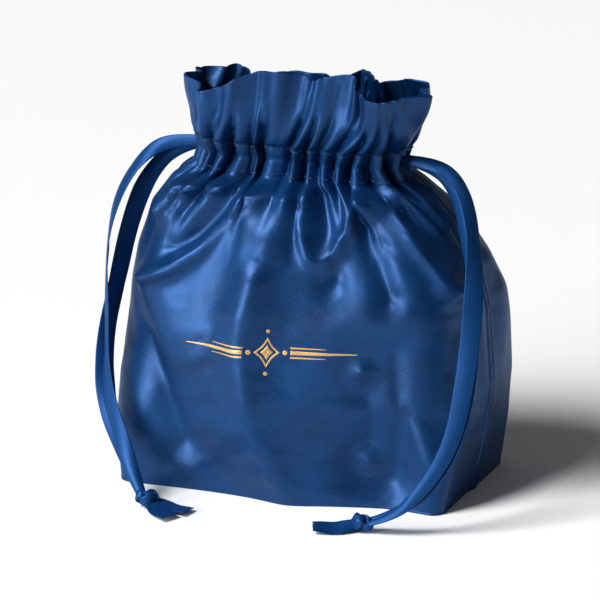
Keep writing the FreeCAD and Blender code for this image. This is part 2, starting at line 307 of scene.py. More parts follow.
def hang_tail(name, route, faces, widths, node_name):
    line = route_line(name, route)
    points, quads, cut = ribbon_band(line, faces, widths)
    tail = piece(name, points, quads, ribbon_material, cut)
    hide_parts(node_name)
    return tail, line


left_front_tail, left_front_line = hang_tail(
    "left_front_ribbon", left_front_route, left_front_faces,
    ((0, 0.6), (0.07, 0.65), (0.22, 0.9), (0.7, 0.95), (0.85, 0.8), (1, 0.45)),
    "left_ribbon_front_tail")
left_back_tail, left_back_line = hang_tail(
    "left_back_ribbon", left_back_route, left_back_faces,
    ((0, 0.6), (0.07, 0.65), (0.22, 0.9), (0.7, 0.95), (0.85, 0.75), (1, 0.45)),
    "left_ribbon_back_tail")
right_front_tail, right_front_line = hang_tail(
    "right_front_ribbon", right_front_route, right_front_faces,
    ((0, 0.55), (0.07, 0.62), (0.25, 0.85), (0.45, 0.95), (0.65, 0.9), (0.82, 0.7), (1, 0.42)),
    "right_ribbon_front_tail")
right_back_tail, right_back_line = hang_tail(
    "right_back_ribbon", right_back_route, right_back_faces,
    ((0, 0.55), (0.07, 0.6), (0.25, 0.8), (0.65, 0.85), (0.82, 0.65), (1, 0.42)),
    "right_ribbon_back_tail")


# ---------------------------------------------------------------------------
# Ribbon knots and cut ends
# Each pair of strands is tied in one overhand knot, pulled snug, that lies on
# the table. The ribbon crumples in it to a flat cord. The ends are cut off
# nearly square.

knot_size = (15.0, 12.0, 8.6)
knot_cord = 2.1             # half the crumpled ribbon's thickness
knot_wide = 1.45            # how much wider than round the crumpled ribbon is, and how much flatter
knot_flat = 0.62
knot_rings = 120
knot_sides = 14
table_gap = 0.15
end_length = 24.0
end_steps = 25


def knot_place(node_name):
    """Where a knot lies on the table: the middle of its place in the design."""
    return [(low + high) / 2 / mm for low, high in zip(*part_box(node_name))][:2]


def tie_knot(name, turn, node_name, body):
    """An overhand knot as a flattened tube that passes through itself."""
    t = np.linspace(0, 2 * math.pi, knot_rings, endpoint=False)
    line = np.stack([
        np.sin(t) + 2 * np.sin(2 * t), np.cos(t) - 2 * np.cos(2 * t), -np.sin(3 * t) * 1.35,
    ], 1)
    reach = np.abs(line).max(0)
    line = line / reach * (np.array(knot_size) / 2 - knot_cord)
    heading = unit(np.roll(line, -1, 0) - np.roll(line, 1, 0))
    out = unit(line - heading * (line * heading).sum(1, keepdims=True))
    side = np.cross(heading, out)
    angle = np.linspace(0, 2 * math.pi, knot_sides, endpoint=False)
    crease = 1 + 0.2 * np.sin(3 * angle[None] + 5 * np.sin(2 * t)[:, None])
    wide = knot_wide * np.cos(angle)[None] * crease
    thick = knot_flat * np.sin(angle)[None] * crease
    tube = line[:, None] + knot_cord * (side[:, None] * wide[..., None] + out[:, None] * thick[..., None])
    spin = np.array(Matrix.Rotation(turn, 3, "Z"))
    tube = tube @ spin.T
    tube[..., 2] += table_gap - tube[..., 2].min()
    tube[..., :2] += knot_place(node_name)
    number = np.arange(knot_rings * knot_sides).reshape(knot_rings, knot_sides)
    ahead = np.roll(number, -1, 0)
    beside = np.roll(number, -1, 1)
    faces = np.stack([number, beside, np.roll(ahead, -1, 1), ahead], -1).reshape(-1, 4)
    cut = np.stack(np.meshgrid(angle * knot_cord, t * 12), -1).reshape(-1, 2)
    knot = piece(name, tube.reshape(-1, 3), faces, ribbon_material, cut)
    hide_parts(node_name)
    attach(knot, body)
    return knot


def joined(layers):
    """Several closed layers as one: their points, faces and cut coordinates, one after another."""
    firsts = np.cumsum([0] + [len(points) for points, _, _ in layers])
    return (
        np.concatenate([points for points, _, _ in layers]),
        np.concatenate([faces + first for (_, faces, _), first in zip(layers, firsts)]),
        np.concatenate([cut for _, _, cut in layers]))


def lay_ends(name, starts, turns, knot_name, node_name, body):
    """The two cut ends beyond a knot, each lying on the table and lifting a little at its tip.
    starts are measured from the knot's middle, and turns from +X."""
    bands = []
    knot_x, knot_y = knot_place(knot_name)
    for start, turn, bend in zip(starts, turns, (7, -9)):
        share = np.linspace(0, 1, end_steps + 1)
        angle = math.radians(turn) + math.radians(bend) * share * 2
        step = end_length / end_steps
        x = knot_x + start[0] + np.concatenate([[0], np.cumsum(np.cos(angle[1:]) * step)])
        y = knot_y + start[1] + np.concatenate([[0], np.cumsum(np.sin(angle[1:]) * step)])
        z = start[2] * (1 - share) ** 1.6 + 1.0 + 1.3 * share ** 3 + 0.35 * np.sin(share * 9)
        line = np.stack([x, y, z], 1)
        looks = ((0.0, (0.3, -0.5, 0.8)), (0.3, (0.1, -0.2, 1)), (1.0, (-0.05, 0.05, 1)))
        points, faces, cut = ribbon_band(line, looks, cup=0.5, slant=1.2)
        pinch = 0.55 + 0.45 * np.clip(share / 0.35, 0, 1)
        wide = len(ribbon_across)
        middle = np.tile(np.repeat(line, wide, 0), (2, 1))
        points = middle + (points - middle) * np.tile(np.repeat(pinch, wide), 2)[:, None]
        points[:, 2] = np.maximum(points[:, 2], 0.12)
        bands.append((points, faces, cut))
    points, faces, cut = joined(bands)
    ends = piece(name, points, faces, ribbon_material, cut)
    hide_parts(node_name)
    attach(ends, body)
    return ends


left_knot = tie_knot("left_ribbon_knot", math.radians(20), "left_knot", "left_ribbon")
right_knot = tie_knot("right_ribbon_knot", math.radians(-25), "right_knot", "right_ribbon")
left_ends = lay_ends(
    "left_cut_ends", ((3, -1, 3.0), (3, 1, 2.2)), (-50, -3), "left_knot",
    "left_ribbon_ends", "left_ribbon")
right_ends = lay_ends(
    "right_cut_ends", ((-3, 1, 2.2), (-3, -1, 3.0)), (186, 208), "right_knot",
    "right_ribbon_ends", "right_ribbon")

for tail, line, body, mouth, length, knot, ends in (
    (left_front_tail, left_front_line, "left_ribbon", (-66, -2.6, 189), 248.7, left_knot, left_ends),
    (left_back_tail, left_back_line, "left_ribbon", (-66, 2.6, 189), 241.2, left_knot, left_ends),
    (right_front_tail, right_front_line, "right_ribbon", (56, -2.6, 189), 266.2, right_knot, right_ends),
    (right_back_tail, right_back_line, "right_ribbon", (56, 2.6, 189), 259.1, right_knot, right_ends),
):
    side = math.copysign(1, mouth[0])
    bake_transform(tail)


# ---------------------------------------------------------------------------
# The pouch's cloth
# One round of lined satin, cut 610 mm round and about 263 mm tall: the body, the
# ribbon channel and the frill above it. It is gathered at the channel, stuffed
# lightly, and settles under its own weight. Every sewn piece is cut from it.

cut_round = 610.0
body_cut = 208.0
channel_cut = 18.5
frill_cut = 36.0            # on average: it is cut taller at the front
channel_bottom, channel_top = [round(corner[2] / mm, 1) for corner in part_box("left_channel_end")]
cloth_step = 3.05           # between threads of the settling cloth
satin_thickness = 1.1       # satin and its lining
frill_rise = 42.0           # height of the frill at the outline's last level
fold_seed = 7

# How deep the cloth is folded, from the middle of a fold to its crest
pleat_depth = 5.0           # in the channel
shoulder_depth = 4.5        # on the slope below it
body_depth = 4.0            # on the broad sides below that
frill_depth_front = 3.0
frill_depth_back = 3.8

# Outline at each height: half width, half depth, front and back corner radii, how far the
# middle sits to +X
outline_levels = np.array((
    (0, 97.5, 55, 9, 7, 0), (30, 102, 58, 18, 10, 0), (60, 105, 60, 38, 18, 0),
    (110, 102, 58, 50, 24, 0), (130, 98, 52, 48, 28, -1), (156, 87, 41, 38, 30, -3),
    (172, 71, 31, 28, 25, -4.5), (180, 60, 26, 22, 22, -5), (189, 57.5, 23, 20, 20, -5),
    (198, 60, 26, 22, 22, -5), (212, 62, 30, 24, 24, -3), (240, 68, 33, 28, 28, -1),
), float)

# The frill's folded edge, from the left seam by the front to the right seam and round the back
frill_edge_front = (
    (-75, 6, 226), (-71, -8, 228), (-61, -22, 225), (-52, -30, 226), (-42, -32, 230),
    (-35, -34, 235), (-27, -33, 238), (-19, -34, 241), (-3, -36, 244), (6, -32, 240),
    (12, -25, 237), (16, -30, 240), (30, -33, 243), (36, -29, 243), (39, -33, 235),
    (43, -38, 232), (54, -40, 232), (64, -38, 233), (72, -32, 234), (77, -21, 233), (74, -12, 233),
)
frill_edge_back = (
    (74, -12, 233), (68, -4, 234), (61, 5, 235), (54, 12, 233), (44, 16, 229), (33, 22, 226),
    (30, 28, 227), (24, 34, 229), (16, 36, 227), (10, 32, 225), (3, 30, 224), (-11, 34, 224),
    (-18, 38, 224), (-25, 35, 223), (-36, 29, 221), (-45, 28, 221), (-52, 34, 223),
    (-58, 37, 224), (-66, 35, 224), (-71, 28, 224), (-74, 18, 225), (-75, 6, 226),
)

# Folds that the gathers send down the front: points in X and Z, half width, how far they stand out
fold_depth = 1.6            # the folds start this much deeper, because the cloth relaxes
front_folds = (
    (((-29, 182), (-40, 175), (-58, 173), (-70, 167), (-75, 158)), 4.5, 4.5),
    (((-24, 172), (-36, 155), (-48, 141), (-65, 129), (-86, 119)), 4.5, 5.5),
    (((-34, 160), (-48, 147), (-66, 137)), 5.5, -4.5),
    (((33, 184), (38, 175), (38, 165), (35, 154), (27, 141)), 5.0, 5.0),
    (((47, 178), (58, 169), (70, 157), (79, 145), (88, 134), (95, 122)), 4.5, 5.5),
    (((60, 176), (74, 158), (84, 142)), 5.0, -2.5),
    (((57, 185), (71, 173), (86, 164)), 4.5, 4.0),
    (((18, 174), (27, 152), (33, 130)), 9.0, -5.0),
    (((48, 158), (58, 138), (66, 122)), 8.0, -4.5),
    (((-5, 178), (-11, 138), (-19, 92), (-12, 45), (8, 8)), 22.0, 7.0),
    (((6, 178), (9, 158), (18, 141)), 4.0, 3.0),
    (((-82, 86), (-68, 62), (-55, 30)), 13.0, -4.5),
    (((70, 92), (74, 55), (66, 15)), 20.0, -6.0),
    (((-54, 178), (-69, 164), (-79, 154)), 4.0, 2.5),
)

# What the settled cloth gets besides: the sharpest of those folds, one broad swell down the
# middle and one hollow at the lower right, as points in X and Z, half width and height
front_creases = (
    (((-29, 180), (-40, 174), (-58, 173), (-69, 168), (-75, 160)), 2.4, 1.5),
    (((-24, 172), (-36, 155), (-48, 141), (-65, 129), (-82, 121)), 2.6, 1.8),
    (((-15, 171), (-22, 165), (-28, 158)), 2.0, 1.1),
    (((33, 181), (38, 174), (38, 165), (35, 154), (27, 142)), 2.6, 1.5),
    (((47, 178), (58, 169), (70, 157), (79, 145), (88, 134), (95, 124)), 2.6, 1.9),
    (((57, 181), (71, 173), (85, 165)), 2.2, 1.2),
    (((6, 176), (9, 158), (17, 143)), 2.2, 0.9),
    (((-54, 177), (-69, 164), (-78, 156)), 2.0, 1.0),
    (((18, 176), (23, 165)), 2.0, -1.2), (((-3, 176), (-6, 166)), 2.0, -1.2),
    (((-40, 178), (-50, 171)), 2.0, -1.0), (((44, 178), (51, 168)), 2.0, -1.2),
    (((-10, 140), (-18, 108), (-16, 66), (-6, 24)), 17.0, 3.0),
    (((50, 80), (56, 54), (54, 26)), 17.0, -6.0),
)


def rounded_outline(half_width, half_depth, front_corner, back_corner, middle, shares):
    """Points and outward directions round an outline, from the left side's middle by the front."""
    quarter = np.linspace(0, math.pi / 2, 24)
    turns = np.concatenate([
        [math.pi], math.pi + quarter, 1.5 * math.pi + quarter, quarter, math.pi / 2 + quarter,
        [math.pi],
    ])
    toward = np.stack([np.cos(turns), np.sin(turns)], 1)
    points = np.zeros((len(turns), 2))
    for k, sign in enumerate(((-1, -1), (1, -1), (1, 1), (-1, 1))):
        corner = front_corner if k < 2 else back_corner
        here = slice(1 + 24 * k, 25 + 24 * k)
        points[here] = np.array(sign) * (half_width - corner, half_depth - corner)
        points[here] += toward[here] * corner
    points[0] = points[-1] = (-half_width, 0)
    length = np.concatenate([[0], np.cumsum(np.linalg.norm(np.diff(points, axis=0), axis=1))])
    at = shares * length[-1]
    x, y = (np.interp(at, length, points[:, k]) for k in (0, 1))
    out = unit(np.stack([np.interp(at, length, toward[:, k]) for k in (0, 1)], 1))
    return x + middle, y, out[:, 0], out[:, 1], length[-1]


def ease(value, start, end):
    t = np.clip((value - start) / (end - start), 0, 1)
    return t * t * (3 - 2 * t)


fold_random = np.random.default_rng(fold_seed)


def uneven_turns(count, jitter):
    """An angle that turns count times round the cloth, in folds of uneven width."""
    marks = np.linspace(0, 1, count + 1)
    moved = fold_random.uniform(-jitter, jitter, count + 1) / count
    moved[0] = moved[-1] = 0
    return np.interp(round_share, marks + moved, np.arange(count + 1)) * 2 * math.pi


def uneven_height(count, amount):
    marks = np.linspace(0, 1, count)
    return 1 + amount * np.interp(round_share, marks, fold_random.uniform(-1, 1, count))


def fold_strength(x, z, guide, half_width):
    """1 on a fold's line and 0 well away from it, in the front view."""
    nearest = np.full(np.shape(x), 1e9)
    for (ax, az), (bx, bz) in zip(guide, guide[1:]):
        dx, dz = bx - ax, bz - az
        t = np.clip(((x - ax) * dx + (z - az) * dz) / (dx * dx + dz * dz), 0, 1)
        nearest = np.minimum(nearest, np.hypot(x - ax - t * dx, z - az - t * dz))
    return np.exp(-(nearest / half_width) ** 1.4)


columns = int(round(cut_round / cloth_step / 2)) * 2
body_rows = int(round(body_cut / cloth_step))
channel_rows = int(round(channel_cut / cloth_step))
frill_rows = int(round(frill_cut / cloth_step))
rows = body_rows + channel_rows + frill_rows + 1
round_share = np.arange(columns) / columns
cut_height = np.concatenate([
    np.linspace(0, body_cut, body_rows + 1),
    body_cut + np.linspace(0, channel_cut, channel_rows + 1)[1:],
    body_cut + channel_cut + np.linspace(0, frill_cut, frill_rows + 1)[1:],
])

pleat_turns = uneven_turns(29, 0.36)
pleat_height = uneven_height(31, 0.55)
pleat_wander = (uneven_height(17, 1.0) - 1) * 1.7
shoulder_turns = uneven_turns(11, 0.25)
frill_turns = uneven_turns(15, 0.3)
frill_height = uneven_height(19, 0.35)
body_turns = uneven_turns(8, 0.3)


def edge_line(points, shares):
    """Places along a line of points, at shares of its length, rounded off at the points."""
    points = np.array(points, float)
    length = np.concatenate([[0], np.cumsum(np.linalg.norm(np.diff(points, axis=0), axis=1))])
    places = []
    for reach in (-0.012, -0.006, 0, 0.006, 0.012):
        at = np.clip(shares + reach, 0, 1) * length[-1]
        places.append(np.stack([np.interp(at, length, points[:, k]) for k in range(3)], -1))
    return np.mean(places, 0)


half_columns = columns // 2
frill_edge = np.concatenate([
    edge_line(frill_edge_front, np.arange(half_columns) / half_columns),
    edge_line(frill_edge_back, np.arange(half_columns) / half_columns),
])
edge_height = frill_edge[:, 2]
on_back = ease(round_share, 0.48, 0.54) * (1 - ease(round_share, 0.96, 1.0))

# Height above the base of each thread of the body, by the length of the slope
slope_z = np.linspace(0, channel_bottom, 400)
slope = [np.interp(slope_z, outline_levels[:, 0], outline_levels[:, k]) for k in (1, 2)]
slope_run = 0.5 * (np.abs(np.diff(slope[0])) + np.abs(np.diff(slope[1])))
slope_length = np.concatenate([[0], np.cumsum(np.hypot(np.diff(slope_z), slope_run))])

gathered = np.zeros((rows, columns, 3))
for row in range(rows):
    if row <= body_rows:
        z = np.interp(cut_height[row] / body_cut * slope_length[-1], slope_length, slope_z)
    elif row <= body_rows + channel_rows:
        z = channel_bottom + (channel_top - channel_bottom) * (row - body_rows) / channel_rows
    else:
        z = channel_top + frill_rise * (row - body_rows - channel_rows) / frill_rows
    sizes = [np.interp(z, outline_levels[:, 0], outline_levels[:, k]) for k in range(1, 6)]
    x, y, out_x, out_y, length = rounded_outline(*sizes, round_share)
    fade = (0.88 - 0.13 * on_back) * ease(z, channel_top, 226 + 8 * on_back)
    gather = ease(z, 128, 180) ** 1.4 if z < channel_top else 1 - fade
    wander = pleat_wander * (z - 189) / 9
    pinched = 2.2 * np.abs(np.sin((pleat_turns + wander) / 2)) ** 0.8 - 1.3
    stand = gather * pleat_depth * pleat_height * pinched
    if z > channel_top:
        depth = frill_depth_front + (frill_depth_back - frill_depth_front) * on_back
        stand = stand + ease(z, 194, 232) * depth * frill_height * np.sin(frill_turns)
        reach = (z - channel_top) / frill_rise
        flare = reach ** 0.85
        x = x * (1 - flare) + frill_edge[:, 0] * flare
        y = y * (1 - flare) + frill_edge[:, 1] * flare
    elif z <= channel_bottom:
        shoulder = ease(z, 90, 150) * (1 - ease(z, 150, 180))
        stand = stand + shoulder * shoulder_depth * np.sin(shoulder_turns) * (0.35 + 0.65 * on_back)
        broad = ease(z, 40, 100) * (1 - ease(z, 140, 175))
        stand = stand + broad * body_depth * np.sin(body_turns) * (0.2 + 0.8 * on_back)
        facing_front = np.clip(-y / 8, 0, 1) * (1 - ease(z, 172, 180))
        for guide, half_width, height in front_folds:
            strength = fold_strength(x, np.full_like(x, z), guide, half_width)
            stand = stand + facing_front * fold_depth * height * strength
    gathered[row, :, 0] = x + out_x * stand
    gathered[row, :, 1] = y + out_y * stand
    gathered[row, :, 2] = z
    if z > channel_top:
        gathered[row, :, 2] = channel_top + reach * (edge_height - channel_top)

# The same cloth as it was cut: a straight tube, standing on the base's outline
base_half_width, base_half_depth = outline_levels[0, 1:3]
x, y, _, _, length = rounded_outline(base_half_width, base_half_depth, 0.5, 0.5, 0, round_share)
as_cut = np.zeros_like(gathered)
as_cut[..., 0] = x * cut_round / length
as_cut[..., 1] = y * cut_round / length
as_cut[..., 2] = cut_height[:, None]
frill_tall = (edge_height - channel_top + 2) / frill_cut
as_cut[-frill_rows:, :, 2] = as_cut[-frill_rows - 1, :, 2] + (
    (cut_height[-frill_rows:] - cut_height[-frill_rows - 1])[:, None] * frill_tall)


settle_moments = 18         # long enough to relax the guided folds, not to lose them


def settle_cloth():
    """The gathered cloth let go under its weight and a light filling, held at the base and stitches."""
    number = np.arange(rows * columns).reshape(rows, columns)
    beside = np.roll(number, -1, 1)
    faces = np.stack([number[:-1], beside[:-1], beside[1:], number[1:]], -1).reshape(-1, 4)
    mesh = bpy.data.meshes.new("settling_cloth")
    mesh.from_pydata((gathered.reshape(-1, 3) * mm).tolist(), [], faces.tolist())
    cloth = bpy.data.objects.new("settling_cloth", mesh)
    bpy.context.scene.collection.objects.link(cloth)
    cloth.shape_key_add(name="gathered")
    flat = cloth.shape_key_add(name="as cut", from_mix=False)
    flat.data.foreach_set("co", (as_cut * mm).astype(np.float32).ravel())
    held = cloth.vertex_groups.new(name="held")
    for row in (0, body_rows, body_rows + channel_rows):
        held.add(number[row].tolist(), 1.0, "REPLACE")
    held.add(number[-1].tolist(), 0.25, "REPLACE")
    settle = cloth.modifiers.new("settle", "CLOTH")
    settings = settle.settings
    settings.quality = 6
    settings.mass = 0.002
    settings.tension_stiffness = 20
    settings.compression_stiffness = 10
    settings.shear_stiffness = 4
    settings.bending_stiffness = 0.02
    settings.tension_damping = 10
    settings.compression_damping = 10
    settings.shear_damping = 5
    settings.bending_damping = 0.5
    settings.air_damping = 2
    settings.vertex_group_mass = "held"
    settings.pin_stiffness = 2
    settings.rest_shape_key = flat
    settings.use_pressure = True
    settings.uniform_pressure_force = 0.08
    settings.effector_weights.gravity = 0.7
    settle.collision_settings.use_collision = False
    settle.collision_settings.use_self_collision = False
    settle.point_cache.frame_start = 1
    settle.point_cache.frame_end = settle_moments
    for moment in range(1, settle_moments + 1):
        bpy.context.scene.frame_set(moment)
    evaluated = cloth.evaluated_get(bpy.context.evaluated_depsgraph_get())
    settled = evaluated.to_mesh()
    places = np.empty(rows * columns * 3, np.float32)
    settled.vertices.foreach_get("co", places)
    evaluated.to_mesh_clear()
    bpy.context.scene.frame_set(1)
    bpy.data.objects.remove(cloth)
    bpy.data.meshes.remove(mesh)
    return places.astype(float).reshape(rows, columns, 3) / mm


def halve_spacing(grid, axis, closed):
    """The same surface with a thread more between each two, on a smooth line through them."""
    grid = np.moveaxis(grid, axis, 0)
    if closed:
        before, after, last = np.roll(grid, 1, 0), np.roll(grid, -1, 0), np.roll(grid, -2, 0)
        between = (9 * (grid + after) - before - last) / 16
        fine = np.stack([grid, between], 1).reshape(-1, *grid.shape[1:])
    else:
        wide = np.concatenate([[2 * grid[0] - grid[1]], grid, [2 * grid[-1] - grid[-2]]])
        between = (9 * (wide[1:-2] + wide[2:-1]) - wide[:-3] - wide[3:]) / 16
        fine = np.empty((2 * len(grid) - 1, *grid.shape[1:]))
        fine[::2] = grid
        fine[1::2] = between
    return np.moveaxis(fine, 0, axis)


def facing(grid):
    """The way the cloth faces at each crossing of its threads."""
    return unit(np.cross(np.roll(grid, -1, 1) - np.roll(grid, 1, 1), np.gradient(grid, axis=0)))


cloth = settle_cloth()

# The lining under the satin takes out the smallest ripples, less so near the stitches
ripple_rows = (1 - ease(np.arange(rows), body_rows - 9, body_rows - 1))[:, None, None] * 0.9
ripple_rows[0] = 0
round_mean = (np.roll(cloth, 1, 1) + 2 * cloth + np.roll(cloth, -1, 1)) / 4
above, below = np.roll(round_mean, -1, 0), np.roll(round_mean, 1, 0)
above[-1], below[0] = round_mean[-1], round_mean[0]
cloth = cloth + ripple_rows * ((below + 2 * round_mean + above) / 4 - cloth)
cloth = halve_spacing(halve_spacing(cloth, 0, False), 1, True)
cloth[..., 2] = np.maximum(cloth[..., 2], 0.0)
outward = facing(cloth)
thread_heights = np.interp(np.arange(2 * rows - 1) / 2, np.arange(rows), cut_height)
on_front = ease(-outward[..., 1], 0.1, 0.5) * (1 - ease(cloth[..., 2], 172, 179))
on_front = on_front * ease(cloth[..., 2], 0, 18)
for guide, half_width, height in front_creases:
    from_ends = [np.hypot(cloth[..., 0] - x, cloth[..., 2] - z) for x, z in (guide[0], guide[-1])]
    strength = fold_strength(cloth[..., 0], cloth[..., 2], guide, half_width)
    strength = strength * ease(np.minimum(*from_ends), -4, 14)
    cloth = cloth + outward * (on_front * height * strength)[..., None]
outward = facing(cloth)

# The finished cloth has a thread more between each two of the settled one, so it counts twice
fine_step = cloth_step / 2
around = 2 * columns
half_round = columns
body_top = 2 * body_rows
channel_end_row = 2 * (body_rows + channel_rows)
frill_top = 2 * rows - 2


def cut_piece(name, material, row_span, column_span, outside=0.0, inside=-satin_thickness, hole=None):
    """A layer of the cloth between two rows and two columns, offset outward by outside and inside."""
    down = np.arange(row_span[0], row_span[1] + 1)
    across = np.arange(column_span[0], column_span[1] + 1)
    pick = np.ix_(down, across % around)
    outer = cloth[pick] + outward[pick] * np.asarray(outside)[..., None]
    inner = cloth[pick] + outward[pick] * np.asarray(inside)[..., None]
    outer[..., 2] = np.maximum(outer[..., 2], 0)
    inner[..., 2] = np.maximum(inner[..., 2], 0)
    cut = np.stack(np.meshgrid(across * fine_step, thread_heights[down]), -1)
    if np.ndim(outside):
        points, faces, flat = closed_layer(outer, inner, cut, hole)
        return piece(name, points, faces, material, flat)
    points, faces, flat, looks = closed_layer(outer, inner, cut, hole, outward[pick])
    return piece(name, points, faces, material, flat, looks)


# ---------------------------------------------------------------------------
# Body panels
# Front and back of navy satin with a lining, sewn to each other down the
# sides, to the base below, and gathered into the channel above.

def pouch_satin(name, dark, light):
    """Polyester satin, woven with floats four threads long: a soft broad gleam that runs along
    each fold and goes nearly black in the hollows, never quite a mirror."""
    made, tree = new_material(name)
    uv = add_node(tree, "ShaderNodeUVMap", uv_map="cut")
    # Real threads lie 0.1 mm apart: drawn 0.7 mm apart so that they show
    threads = add_node(tree, "ShaderNodeMapping", {"Vector": uv.outputs[0], "Scale": (1.4, 0.5, 1)})
    floats = add_node(tree, "ShaderNodeTexNoise", {
        "Vector": threads.outputs[0], "Scale": 1.0, "Detail": 4.0, "Roughness": 0.65,
    }, noise_dimensions="2D")
    # Handling marks and slight differences in the dye, about 35 mm across
    handled = add_node(tree, "ShaderNodeTexNoise", {
        "Vector": uv.outputs[0], "Scale": 0.03, "Detail": 3.0, "Roughness": 0.5,
    }, noise_dimensions="2D")
    # Slight unevenness of the two layers over each other, about 12 mm across
    uneven = add_node(tree, "ShaderNodeTexNoise", {
        "Vector": uv.outputs[0], "Scale": 0.08, "Detail": 2.0, "Roughness": 0.5,
    }, noise_dimensions="2D")
    shade = add_node(tree, "ShaderNodeMix", {
        0: 0.6, 2: handled.outputs["Fac"], 3: floats.outputs["Fac"],
    }, data_type="FLOAT")
    tone = add_node(tree, "ShaderNodeValToRGB", {"Fac": shade.outputs[0]})
    tone.color_ramp.elements[0].position = 0.3
    tone.color_ramp.elements[0].color = linear(dark)
    tone.color_ramp.elements[1].position = 0.7
    tone.color_ramp.elements[1].color = linear(light)
    rough = add_node(tree, "ShaderNodeMapRange", {
        "Value": shade.outputs[0], "From Min": 0.3, "From Max": 0.7, "To Min": 0.33, "To Max": 0.42,
    })
    layer_bump = add_node(tree, "ShaderNodeBump", {
        "Height": uneven.outputs["Fac"], "Strength": 0.12, "Distance": 1.0 * mm,
    })
    bump = add_node(tree, "ShaderNodeBump", {
        "Height": floats.outputs["Fac"], "Strength": 0.6, "Distance": 0.15 * mm,
        "Normal": layer_bump.outputs[0],
    })
    tangent = add_node(tree, "ShaderNodeTangent", direction_type="UV_MAP", uv_map="cut")
    shader = add_node(tree, "ShaderNodeBsdfPrincipled", {
        "Base Color": tone.outputs["Color"], "Roughness": rough.outputs["Result"],
        "Metallic": 0.5, "Specular IOR Level": 0.65, "Anisotropic": 0.4,
        "Specular Tint": linear("#c4d6f2"), "Normal": bump.outputs[0],
        "Tangent": tangent.outputs[0], "Sheen Weight": 0.03, "Sheen Roughness": 0.4,
        "Sheen Tint": linear("#5f8fd6"),
    })
    finish_material(tree, shader)
    return made


satin = pouch_satin("navy_satin", "#01234a", "#083e74")


def follow_neck(made):
    """Bakes the piece's placing into its mesh."""
    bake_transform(made)


def follow_shoulder(made):
    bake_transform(made)


front_half = (0, half_round)
back_half = (half_round, around)

for name, node_name, span, side in (
    ("satin_front_panel", "front_panel", front_half, -1),
    ("satin_back_panel", "back_panel", back_half, 1),
):
    panel = cut_piece(name, satin, (0, body_top), span)
    follow_shoulder(panel)
    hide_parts(node_name)


# ---------------------------------------------------------------------------
# Base
# One flat piece of the same satin, 195 by 110 mm, sewn round the body's lower
# edge with the seam turned inside. It bears on the table.

base_rings = (1.0, 0.99, 0.96, 0.9, 0.8, 0.66, 0.5, 0.33, 0.16, 0.001)    # shares of the outline

rim = np.concatenate([cloth[0], cloth[0][:1]])
rim_turn = np.linspace(0, 2 * math.pi, len(rim))
base_low = []
base_top = []
for share in base_rings:
    wave = 0.25 * np.sin(rim_turn * 5 + share * 4) * (1 - share)
    low = 0.3 * (1 - share) + wave * 0.5
    ring = np.stack([rim[:, 0] * share, rim[:, 1] * share, np.maximum(low, 0.02)], 1)
    base_low.append(ring)
    base_top.append(ring + (0, 0, 1.0 + 0.1 * share))
base_low = np.array(base_low)
points, faces, flat = closed_layer(np.array(base_top), base_low, base_low[..., :2])
base = piece("satin_base", points, faces, satin, flat)
meld = base.modifiers.new("meld", "WELD")
meld.merge_threshold = 0.02 * mm
melded = bpy.data.meshes.new_from_object(base.evaluated_get(bpy.context.evaluated_depsgraph_get()))
base.modifiers.clear()
base.data = melded
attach(base, "root")
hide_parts("base_panel")


# ---------------------------------------------------------------------------
# Seams
# The side seams are felled: the allowances lie to both sides of the stitches
# and stand up as two soft ridges. The seams round the base are turned inside.

# How far a side seam stands out of the cloth, across its width
seam_offsets = np.array([-0.1, 0.75, 1.0, 0.2, 1.0, 0.75, -0.1])
seam_columns = 3            # threads to each side of the stitches
allowance_depth = 1.6       # how far inside the cloth the lower allowances lie
allowance_thickness = 1.0
corner_cut = 55.0           # along the rim, from the side seam to the base's corner


def side_seam(name, node_name, column):
    down = body_top + 1
    puckers = 1 + 0.22 * np.sin(np.arange(down) * 0.9) * np.sin(np.arange(down) * 0.37 + 1)
    raised = seam_offsets * puckers[:, None]
    made = cut_piece(
        name, satin, (0, body_top), (column - seam_columns, column + seam_columns),
        outside=raised, inside=-0.7)
    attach(made, "root")
    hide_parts(node_name)
    return made


side_seam("left_side_ridge", "left_side_seam", 0)
side_seam("right_side_ridge", "right_side_seam", half_round)

corner_columns = int(round(corner_cut / fine_step))
for name, node_name, span in (
    ("front_base_allowance", "front_base_seam", (corner_columns, half_round - corner_columns)),
    ("back_base_allowance", "back_base_seam", (half_round + corner_columns, around - corner_columns)),
    ("left_base_allowance", "left_corner_seam", (-corner_columns + 4, corner_columns - 4)),
    ("right_base_allowance", "right_corner_seam",
        (half_round - corner_columns + 4, half_round + corner_columns - 4)),
):
    allowance = cut_piece(
        name, satin, (1, 4), span, outside=-allowance_depth,
        inside=-allowance_depth - allowance_thickness)
    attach(allowance, "root")
    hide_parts(node_name)


# ---------------------------------------------------------------------------
# Ribbon channel and frill
# The round's top is turned down inside and caught by two rows of stitches:
# between them is the channel, above them the frill, which is folded double.
# At each side seam the channel is left open for the ribbons.

strip = 3                   # columns each side of the side seams
exit_low = 183.0            # the lower and the upper edge of a ribbon's opening
exit_high = 195.5
facing_depth = 3.4          # from the channel's outer layer to its inner one
layer_thickness = 0.8       # one layer of satin
frill_thickness = 1.3
frill_roll = 1.25           # how much the folded edge swells

for name, node_name, span, side in (
    ("front_channel", "front_casing", (strip, half_round - strip), -1),
    ("back_channel", "back_casing", (half_round + strip, around - strip), 1),
):
    casing = cut_piece(
        name, satin, (body_top, channel_end_row), span, inside=-layer_thickness)
    follow_neck(casing)
    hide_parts(node_name)

